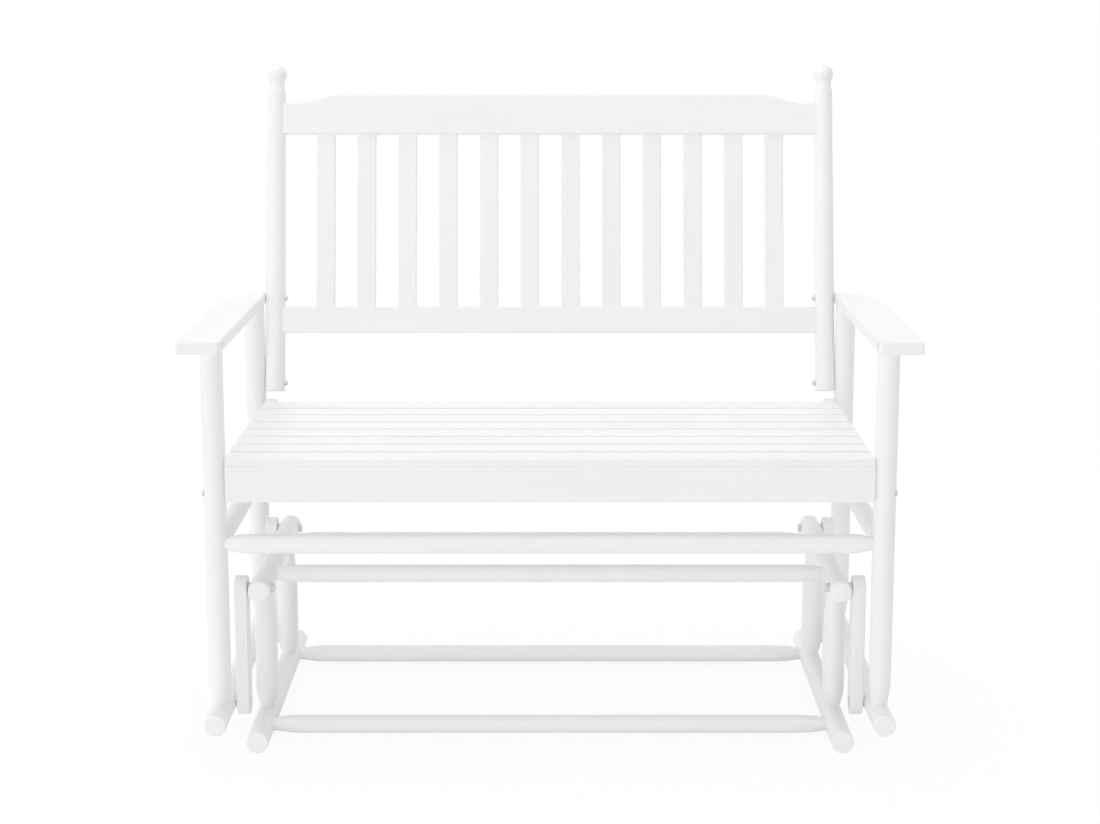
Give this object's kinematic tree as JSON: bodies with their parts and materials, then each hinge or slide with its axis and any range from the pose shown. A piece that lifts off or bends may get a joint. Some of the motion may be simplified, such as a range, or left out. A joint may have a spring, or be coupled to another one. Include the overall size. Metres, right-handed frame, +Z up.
{
  "type": "two-seat glider bench",
  "caption": "White wooden glider bench for porch or patio: slatted seat, leaning slatted back and flat arms, hung on swing bars from a low floor frame.",
  "frame": {"origin": "on the floor, under the middle of the outer box", "axes": "+X along the bench, to the right as seen from the front, +Y to the rear, +Z up"},
  "size_m": [1.15, 0.6873, 1.0608],
  "materials": {
    "white_paint": "satin opaque white paint",
    "zinc_steel": "zinc plated",
    "nylon_bush": "moulded nylon"
  },
  "bodies": {
    "base": {"base_bottom_rail_left": "white_paint", "base_bottom_rail_right": "white_paint", "base_top_rail_left": "white_paint", "base_top_rail_right": "white_paint", "base_post_front_left": "white_paint", "base_post_front_right": "white_paint", "base_post_rear_left": "white_paint", "base_post_rear_right": "white_paint", "base_low_stretcher_front": "white_paint", "base_low_stretcher_rear": "white_paint", "base_high_stretcher_front": "white_paint", "base_high_stretcher_rear": "white_paint", "top_pivot_bolts": "zinc_steel", "top_pivot_spacers": "zinc_steel", "top_pivot_nuts": "zinc_steel"},
    "bar_front_left": {"swing_bar_front_left": "white_paint", "bushes_front_left": "nylon_bush"},
    "bar_front_right": {"swing_bar_front_right": "white_paint", "bushes_front_right": "nylon_bush"},
    "bar_rear_left": {"swing_bar_rear_left": "white_paint", "bushes_rear_left": "nylon_bush"},
    "bar_rear_right": {"swing_bar_rear_right": "white_paint", "bushes_rear_right": "nylon_bush"},
    "seat": {"seat_bottom_rail_left": "white_paint", "seat_bottom_rail_right": "white_paint", "leg_front_left": "white_paint", "leg_front_right": "white_paint", "leg_rear_left": "white_paint", "leg_rear_right": "white_paint", "side_stretcher_left": "white_paint", "side_stretcher_right": "white_paint", "seat_stretcher_front": "white_paint", "seat_stretcher_rear": "white_paint", "seat_rail_front": "white_paint", "seat_rail_rear": "white_paint", "seat_side_board_left": "white_paint", "seat_side_board_right": "white_paint", "middle_bearer": "white_paint", "seat_slat_1": "white_paint", "seat_slat_2": "white_paint", "seat_slat_3": "white_paint", "seat_slat_4": "white_paint", "seat_slat_5": "white_paint", "seat_slat_6": "white_paint", "seat_slat_7": "white_paint", "seat_slat_8": "white_paint", "arm_left": "white_paint", "arm_right": "white_paint", "back_post_left": "white_paint", "back_post_right": "white_paint", "crest_rail": "white_paint", "lower_back_rail": "white_paint", "back_slats": "white_paint", "bottom_pivot_bolts": "zinc_steel", "bottom_pivot_spacers": "zinc_steel", "bottom_pivot_nuts": "zinc_steel", "seat_rail_bolts": "zinc_steel", "barrel_nuts": "zinc_steel", "back_bolts": "zinc_steel", "arm_screws": "zinc_steel"}
  },
  "joints": [
    {"name": "swing_front_left", "type": "hinge", "parent": "base", "child": "bar_front_left", "pos_m": [-0.495, -0.22469, 0.248], "axis": [1, 0, 0], "range_deg": [-25, 25]},
    {"name": "swing_front_right", "type": "hinge", "parent": "base", "child": "bar_front_right", "pos_m": [0.495, -0.22469, 0.248], "axis": [1, 0, 0], "range_deg": [-25, 25]},
    {"name": "swing_rear_left", "type": "hinge", "parent": "base", "child": "bar_rear_left", "pos_m": [-0.495, 0.15931, 0.248], "axis": [1, 0, 0], "range_deg": [-25, 25]},
    {"name": "swing_rear_right", "type": "hinge", "parent": "base", "child": "bar_rear_right", "pos_m": [0.495, 0.15931, 0.248], "axis": [1, 0, 0], "range_deg": [-25, 25]},
    {"name": "seat_level", "type": "hinge", "parent": "bar_front_left", "child": "seat", "pos_m": [-0.495, -0.22469, 0.057], "axis": [1, 0, 0], "range_deg": [-25, 25]}
  ],
  "couplings": [
    {"joint": "swing_front_right", "follows": "swing_front_left", "ratio": 1},
    {"joint": "swing_rear_left", "follows": "swing_front_left", "ratio": 1},
    {"joint": "swing_rear_right", "follows": "swing_front_left", "ratio": 1},
    {"joint": "seat_level", "follows": "swing_front_left", "ratio": -1}
  ]
}
